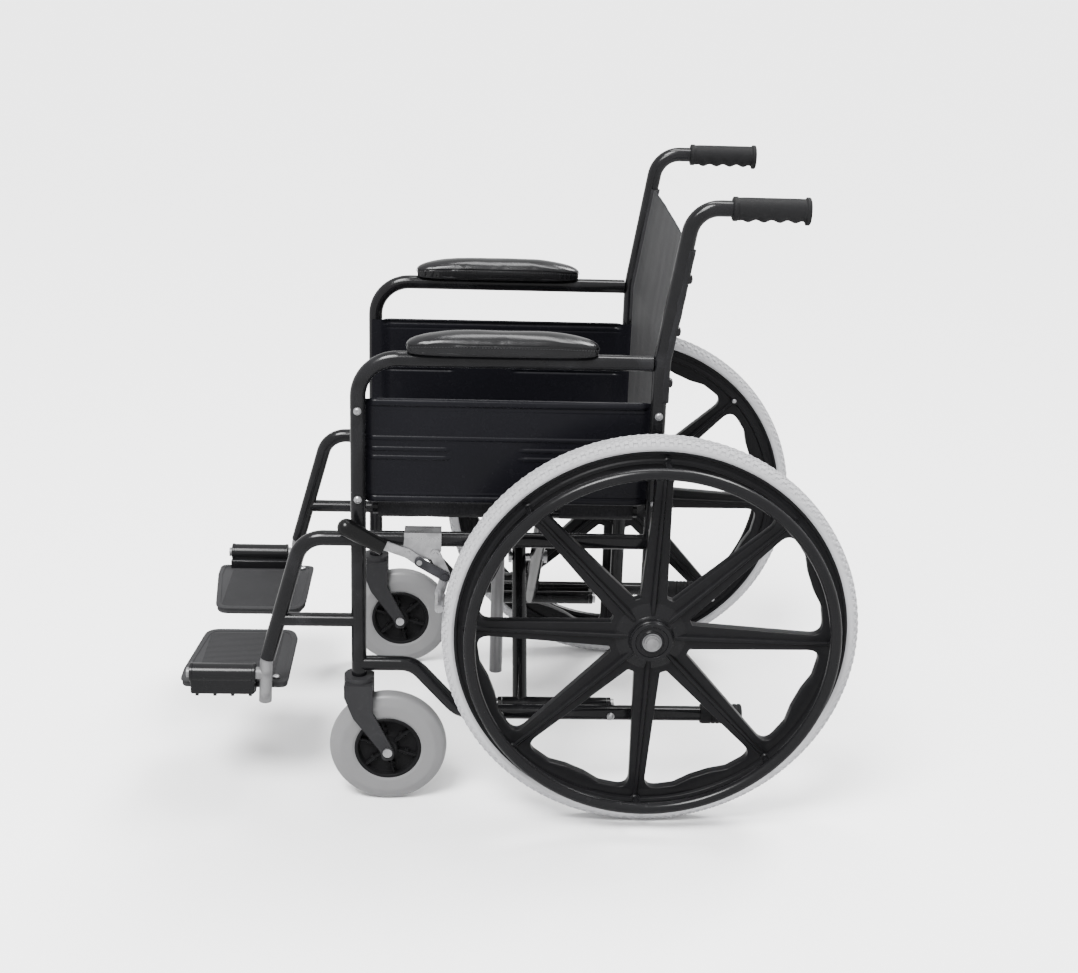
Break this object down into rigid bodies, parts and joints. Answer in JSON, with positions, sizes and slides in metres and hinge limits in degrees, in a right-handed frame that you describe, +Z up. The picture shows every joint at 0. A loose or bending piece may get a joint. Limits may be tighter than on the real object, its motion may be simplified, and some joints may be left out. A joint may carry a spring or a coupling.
{
  "type": "manual wheelchair",
  "caption": "Folding manual wheelchair with moulded spoked wheels, swivelling castors, padded arm rests, skirt guards, slings, wheel locks and flip-up footplates.",
  "frame": {"origin": "on the floor, at the middle of the length and width", "axes": "+X forwards, +Y to the sitter's left, +Z up"},
  "size_m": [0.9849, 0.689, 0.9265],
  "materials": {
    "black_steel": "gloss black enamel",
    "grip_rubber": "matte moulded",
    "guard_plastic": "satin",
    "pad_vinyl": "soft grained vinyl",
    "sling_fabric": "woven",
    "zinc_steel": "zinc plated",
    "grey_tyre": "fine moulded tread",
    "castor_rubber": "smooth solid",
    "wheel_plastic": "moulded satin",
    "handrim_plastic": "smooth",
    "castor_plastic": "moulded satin",
    "grey_steel": "satin grey",
    "footplate_plastic": "ribbed",
    "lock_zinc": "zinc plated"
  },
  "bodies": {
    "left_frame": {"left_front_tube": "black_steel", "left_rear_tube": "black_steel", "left_upper_rail": "black_steel", "left_lower_rail": "black_steel", "left_footrest_hanger": "black_steel", "left_push_grip": "grip_rubber", "left_tip_cap": "grip_rubber", "left_skirt_guard": "guard_plastic", "left_arm_pad": "pad_vinyl", "left_frame_fasteners": "zinc_steel", "left_rear_axle": "zinc_steel", "left_lock_bracket": "lock_zinc", "back_sling": "sling_fabric"},
    "left_rear_wheel": {"left_rear_tyre": "grey_tyre", "left_rear_wheel": "wheel_plastic", "left_hub_bearings": "zinc_steel", "left_handrim": "handrim_plastic"},
    "left_castor": {"left_castor_fork": "castor_plastic", "left_castor_bolts": "zinc_steel"},
    "left_castor_wheel": {"left_castor_hub": "castor_plastic", "left_castor_tyre": "castor_rubber"},
    "left_footrest_slide": {"left_footrest_tube": "grey_steel"},
    "left_footplate": {"left_footplate": "footplate_plastic"},
    "left_lock_lever": {"left_lock_lever": "lock_zinc", "left_lock_grip": "grip_rubber"},
    "left_lock_link": {"left_lock_link": "lock_zinc"},
    "left_lock_shoe": {"left_lock_shoe": "lock_zinc"},
    "left_seat_rail": {"left_seat_rail": "black_steel", "seat_sling": "sling_fabric"},
    "right_frame": {"right_front_tube": "black_steel", "right_rear_tube": "black_steel", "right_upper_rail": "black_steel", "right_lower_rail": "black_steel", "right_footrest_hanger": "black_steel", "right_push_grip": "grip_rubber", "right_tip_cap": "grip_rubber", "right_skirt_guard": "guard_plastic", "right_arm_pad": "pad_vinyl", "right_frame_fasteners": "zinc_steel", "right_rear_axle": "zinc_steel", "right_lock_bracket": "lock_zinc"},
    "right_rear_wheel": {"right_rear_tyre": "grey_tyre", "right_rear_wheel": "wheel_plastic", "right_hub_bearings": "zinc_steel", "right_handrim": "handrim_plastic"},
    "right_castor": {"right_castor_fork": "castor_plastic", "right_castor_bolts": "zinc_steel"},
    "right_castor_wheel": {"right_castor_hub": "castor_plastic", "right_castor_tyre": "castor_rubber"},
    "right_footrest_slide": {"right_footrest_tube": "grey_steel"},
    "right_footplate": {"right_footplate": "footplate_plastic"},
    "right_lock_lever": {"right_lock_lever": "lock_zinc", "right_lock_grip": "grip_rubber"},
    "right_lock_link": {"right_lock_link": "lock_zinc"},
    "right_lock_shoe": {"right_lock_shoe": "lock_zinc"},
    "right_seat_rail": {"right_seat_rail": "black_steel"},
    "brace_leg_a": {"brace_leg_a": "black_steel", "brace_bolt": "zinc_steel"},
    "brace_leg_b": {"brace_leg_b": "black_steel"}
  },
  "joints": [
    {"name": "fold", "type": "hinge", "parent": "left_frame", "child": "brace_leg_a", "pos_m": [-0.0115, 0.202, 0.14], "axis": [-1, 0, 0], "range_deg": [0, 43], "deforming": ["seat_sling", "back_sling"]},
    {"name": "brace_cross", "type": "hinge", "parent": "brace_leg_a", "child": "brace_leg_b", "pos_m": [-0.0255, 0, 0.2985], "axis": [1, 0, 0], "range_deg": [0, 86]},
    {"name": "right_frame_pivot", "type": "hinge", "parent": "brace_leg_b", "child": "right_frame", "pos_m": [-0.0395, -0.202, 0.14], "axis": [-1, 0, 0], "range_deg": [0, 43]},
    {"name": "right_seat_pivot", "type": "hinge", "parent": "brace_leg_a", "child": "right_seat_rail", "pos_m": [-0.0115, -0.202, 0.457], "axis": [1, 0, 0], "range_deg": [0, 43]},
    {"name": "left_seat_pivot", "type": "hinge", "parent": "brace_leg_b", "child": "left_seat_rail", "pos_m": [-0.0395, 0.202, 0.457], "axis": [-1, 0, 0], "range_deg": [0, 43]},
    {"name": "left_wheel_spin", "type": "hinge", "parent": "left_frame", "child": "left_rear_wheel", "pos_m": [-0.1925, 0.29, 0.3], "axis": [0, 1, 0], "continuous": true},
    {"name": "left_castor_swivel", "type": "hinge", "parent": "left_frame", "child": "left_castor", "pos_m": [0.2285, 0.235, 0.0875], "axis": [0, 0, 1], "continuous": true},
    {"name": "left_castor_spin", "type": "hinge", "parent": "left_castor", "child": "left_castor_wheel", "pos_m": [0.1855, 0.235, 0.0875], "axis": [0, 1, 0], "continuous": true},
    {"name": "left_footrest_height", "type": "slide", "parent": "left_frame", "child": "left_footrest_slide", "axis": [0.2689, 0, -0.9632], "range_m": [0, 0.03]},
    {"name": "left_footplate_flip", "type": "hinge", "parent": "left_footrest_slide", "child": "left_footplate", "pos_m": [0.36981, 0.235, 0.203], "axis": [-1, 0, 0], "range_deg": [0, 90]},
    {"name": "left_lock_lever_turn", "type": "hinge", "parent": "left_frame", "child": "left_lock_lever", "pos_m": [0.15761, 0.25, 0.404], "axis": [0, -1, 0], "range_deg": [0, 50]},
    {"name": "left_lock_link_turn", "type": "hinge", "parent": "left_lock_lever", "child": "left_lock_link", "pos_m": [0.14061, 0.25, 0.392], "axis": [0, -1, 0], "range_deg": [-58.7, 0]},
    {"name": "left_lock_shoe_turn", "type": "hinge", "parent": "left_frame", "child": "left_lock_shoe", "pos_m": [0.11761, 0.25, 0.402], "axis": [0, -1, 0], "range_deg": [0, 20.9]},
    {"name": "right_wheel_spin", "type": "hinge", "parent": "right_frame", "child": "right_rear_wheel", "pos_m": [-0.1925, -0.29, 0.3], "axis": [0, 1, 0], "continuous": true},
    {"name": "right_castor_swivel", "type": "hinge", "parent": "right_frame", "child": "right_castor", "pos_m": [0.2285, -0.235, 0.0875], "axis": [0, 0, 1], "continuous": true},
    {"name": "right_castor_spin", "type": "hinge", "parent": "right_castor", "child": "right_castor_wheel", "pos_m": [0.1855, -0.235, 0.0875], "axis": [0, 1, 0], "continuous": true},
    {"name": "right_footrest_height", "type": "slide", "parent": "right_frame", "child": "right_footrest_slide", "axis": [0.2689, 0, -0.9632], "range_m": [0, 0.03]},
    {"name": "right_footplate_flip", "type": "hinge", "parent": "right_footrest_slide", "child": "right_footplate", "pos_m": [0.36981, -0.235, 0.203], "axis": [1, 0, 0], "range_deg": [0, 90]},
    {"name": "right_lock_lever_turn", "type": "hinge", "parent": "right_frame", "child": "right_lock_lever", "pos_m": [0.15761, -0.25, 0.404], "axis": [0, -1, 0], "range_deg": [0, 50]},
    {"name": "right_lock_link_turn", "type": "hinge", "parent": "right_lock_lever", "child": "right_lock_link", "pos_m": [0.14061, -0.25, 0.392], "axis": [0, -1, 0], "range_deg": [-58.7, 0]},
    {"name": "right_lock_shoe_turn", "type": "hinge", "parent": "right_frame", "child": "right_lock_shoe", "pos_m": [0.11761, -0.25, 0.402], "axis": [0, -1, 0], "range_deg": [0, 20.9]}
  ],
  "couplings": [
    {"joint": "brace_cross", "follows": "fold", "ratio": 2},
    {"joint": "right_frame_pivot", "follows": "fold", "ratio": 1},
    {"joint": "right_seat_pivot", "follows": "fold", "ratio": 1},
    {"joint": "left_seat_pivot", "follows": "fold", "ratio": 1},
    {"joint": "left_footplate_flip", "follows": "fold", "ratio": 2.093},
    {"joint": "left_lock_link_turn", "follows": "left_lock_lever_turn", "ratio": -1.174},
    {"joint": "left_lock_shoe_turn", "follows": "left_lock_lever_turn", "ratio": 0.418},
    {"joint": "right_footplate_flip", "follows": "fold", "ratio": 2.093},
    {"joint": "right_lock_link_turn", "follows": "right_lock_lever_turn", "ratio": -1.174},
    {"joint": "right_lock_shoe_turn", "follows": "right_lock_lever_turn", "ratio": 0.418}
  ]
}
